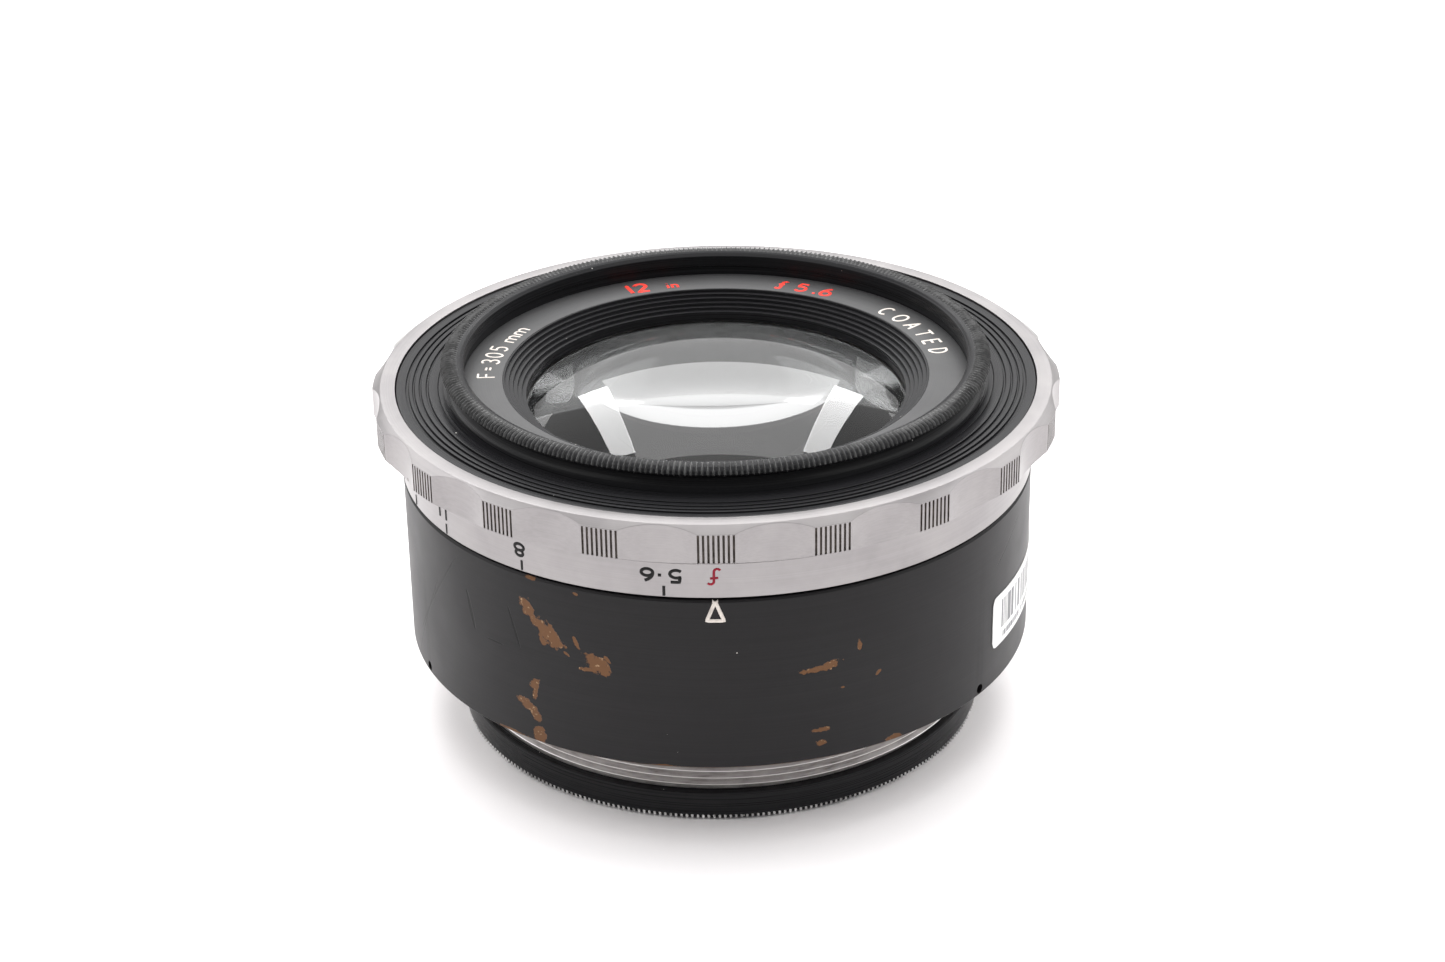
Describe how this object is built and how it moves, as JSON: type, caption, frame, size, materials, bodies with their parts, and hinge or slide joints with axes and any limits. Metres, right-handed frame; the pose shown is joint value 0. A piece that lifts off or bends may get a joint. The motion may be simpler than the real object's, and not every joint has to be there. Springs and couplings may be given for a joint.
{
  "type": "barrel lens",
  "caption": "Short barrel lens with a scalloped aperture ring, lacquered brass barrel, ribbed black front, rear mounting thread and a working iris.",
  "frame": {"origin": "centre of the rear rim's bottom face, on the lens axis", "axes": "+Z along the lens axis towards the front glass; the index mark faces -Y; +X is to the right when the index faces the viewer"},
  "size_m": [0.116, 0.116, 0.0652],
  "materials": {
    "black_lacquer_brass": "satin black lacquer over brass",
    "blued_steel": "blued steel",
    "turned_aluminium": "fine-turned bare aluminium",
    "black_anodised": "satin black anodised aluminium",
    "dark_grey_anodised": "matt dark grey anodised aluminium",
    "brass_plain": "machined brass",
    "blackened_brass": "chemically blackened brass",
    "blade_steel": "blackened spring steel",
    "optical_glass": "polished coated glass",
    "paper_white": "coated white paper"
  },
  "bodies": {
    "lens_barrel": {"main_barrel": "black_lacquer_brass", "barrel_set_screws": "blued_steel", "mount_sleeve": "turned_aluminium", "rear_cell": "black_anodised", "rear_positive_element": "optical_glass", "rear_negative_element": "optical_glass", "rear_retaining_ring": "black_anodised", "iris_base_plate": "blackened_brass", "iris_retaining_ring": "blackened_brass", "front_flange": "black_anodised", "front_cell": "black_anodised", "front_rim": "black_anodised", "name_ring": "dark_grey_anodised", "front_retaining_ring": "black_anodised", "front_element": "optical_glass", "front_spacer": "blackened_brass", "negative_element": "optical_glass", "paper_label": "paper_white"},
    "aperture_control": {"aperture_ring": "turned_aluminium", "drive_screw": "blued_steel", "cam_ring": "brass_plain"},
    "blade_01": {"iris_blade_01": "blade_steel"},
    "blade_02": {"iris_blade_02": "blade_steel"},
    "blade_03": {"iris_blade_03": "blade_steel"},
    "blade_04": {"iris_blade_04": "blade_steel"},
    "blade_05": {"iris_blade_05": "blade_steel"},
    "blade_06": {"iris_blade_06": "blade_steel"},
    "blade_07": {"iris_blade_07": "blade_steel"},
    "blade_08": {"iris_blade_08": "blade_steel"},
    "blade_09": {"iris_blade_09": "blade_steel"},
    "blade_10": {"iris_blade_10": "blade_steel"},
    "blade_11": {"iris_blade_11": "blade_steel"},
    "blade_12": {"iris_blade_12": "blade_steel"}
  },
  "joints": [
    {"name": "aperture_turn", "type": "hinge", "parent": "lens_barrel", "child": "aperture_control", "pos_m": [0, 0, 0.0535], "axis": [0, 0, 1], "range_deg": [0, 79]},
    {"name": "blade_01_swing", "type": "hinge", "parent": "lens_barrel", "child": "blade_01", "pos_m": [0.034, 0, 0.0337], "axis": [0, 0, 1], "range_deg": [0, 38.71]},
    {"name": "blade_02_swing", "type": "hinge", "parent": "lens_barrel", "child": "blade_02", "pos_m": [0.02944, 0.017, 0.0337], "axis": [0, 0, 1], "range_deg": [0, 38.71]},
    {"name": "blade_03_swing", "type": "hinge", "parent": "lens_barrel", "child": "blade_03", "pos_m": [0.017, 0.02944, 0.0337], "axis": [0, 0, 1], "range_deg": [0, 38.71]},
    {"name": "blade_04_swing", "type": "hinge", "parent": "lens_barrel", "child": "blade_04", "pos_m": [0, 0.034, 0.0337], "axis": [0, 0, 1], "range_deg": [0, 38.71]},
    {"name": "blade_05_swing", "type": "hinge", "parent": "lens_barrel", "child": "blade_05", "pos_m": [-0.017, 0.02944, 0.0337], "axis": [0, 0, 1], "range_deg": [0, 38.71]},
    {"name": "blade_06_swing", "type": "hinge", "parent": "lens_barrel", "child": "blade_06", "pos_m": [-0.02944, 0.017, 0.0337], "axis": [0, 0, 1], "range_deg": [0, 38.71]},
    {"name": "blade_07_swing", "type": "hinge", "parent": "lens_barrel", "child": "blade_07", "pos_m": [-0.034, 0, 0.0337], "axis": [0, 0, 1], "range_deg": [0, 38.71]},
    {"name": "blade_08_swing", "type": "hinge", "parent": "lens_barrel", "child": "blade_08", "pos_m": [-0.02944, -0.017, 0.0337], "axis": [0, 0, 1], "range_deg": [0, 38.71]},
    {"name": "blade_09_swing", "type": "hinge", "parent": "lens_barrel", "child": "blade_09", "pos_m": [-0.017, -0.02944, 0.0337], "axis": [0, 0, 1], "range_deg": [0, 38.71]},
    {"name": "blade_10_swing", "type": "hinge", "parent": "lens_barrel", "child": "blade_10", "pos_m": [0, -0.034, 0.0337], "axis": [0, 0, 1], "range_deg": [0, 38.71]},
    {"name": "blade_11_swing", "type": "hinge", "parent": "lens_barrel", "child": "blade_11", "pos_m": [0.017, -0.02944, 0.0337], "axis": [0, 0, 1], "range_deg": [0, 38.71]},
    {"name": "blade_12_swing", "type": "hinge", "parent": "lens_barrel", "child": "blade_12", "pos_m": [0.02944, -0.017, 0.0337], "axis": [0, 0, 1], "range_deg": [0, 38.71]}
  ],
  "couplings": [
    {"joint": "blade_01_swing", "follows": "aperture_turn", "ratio": 0.49},
    {"joint": "blade_02_swing", "follows": "aperture_turn", "ratio": 0.49},
    {"joint": "blade_03_swing", "follows": "aperture_turn", "ratio": 0.49},
    {"joint": "blade_04_swing", "follows": "aperture_turn", "ratio": 0.49},
    {"joint": "blade_05_swing", "follows": "aperture_turn", "ratio": 0.49},
    {"joint": "blade_06_swing", "follows": "aperture_turn", "ratio": 0.49},
    {"joint": "blade_07_swing", "follows": "aperture_turn", "ratio": 0.49},
    {"joint": "blade_08_swing", "follows": "aperture_turn", "ratio": 0.49},
    {"joint": "blade_09_swing", "follows": "aperture_turn", "ratio": 0.49},
    {"joint": "blade_10_swing", "follows": "aperture_turn", "ratio": 0.49},
    {"joint": "blade_11_swing", "follows": "aperture_turn", "ratio": 0.49},
    {"joint": "blade_12_swing", "follows": "aperture_turn", "ratio": 0.49}
  ]
}
